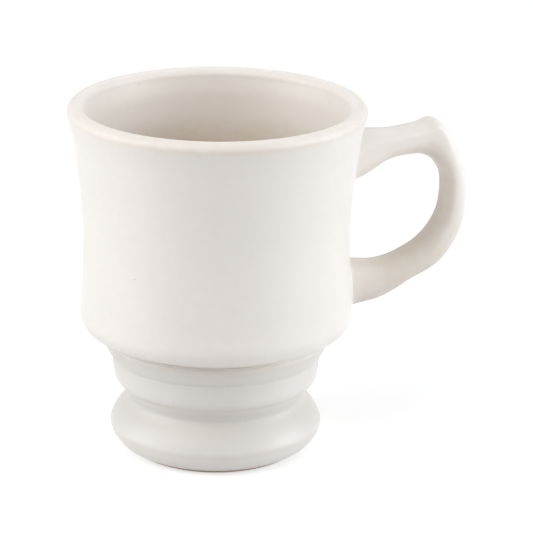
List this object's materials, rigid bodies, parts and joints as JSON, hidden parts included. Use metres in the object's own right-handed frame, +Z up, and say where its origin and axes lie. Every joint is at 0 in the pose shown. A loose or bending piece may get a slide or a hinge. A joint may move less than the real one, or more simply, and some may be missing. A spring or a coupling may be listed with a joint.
{
  "type": "footed mug",
  "caption": "Glazed stoneware mug with a waisted cup, rolled lip, stepped hollow pedestal foot and a strap handle with a thumb rest.",
  "frame": {"origin": "centre of the ring that the mug stands on, on the cup's axis, at table height", "axes": "+Z up along the cup's axis, +X from the axis towards the handle, +Y across the handle"},
  "size_m": [0.1267, 0.09, 0.1084],
  "materials": {
    "white_glaze": "satin warm white glaze on stoneware, breaking warmer on the edges",
    "foot_glaze": "the same glaze, thinner and greyer on the foot, bare clay at the edge that stands on the table"
  },
  "bodies": {
    "root": {"cup_body": "white_glaze", "pedestal_foot": "foot_glaze", "pedestal_slip_seam": "foot_glaze", "handle": "white_glaze", "upper_handle_joint": "white_glaze", "lower_handle_joint": "white_glaze"}
  },
  "joints": []
}
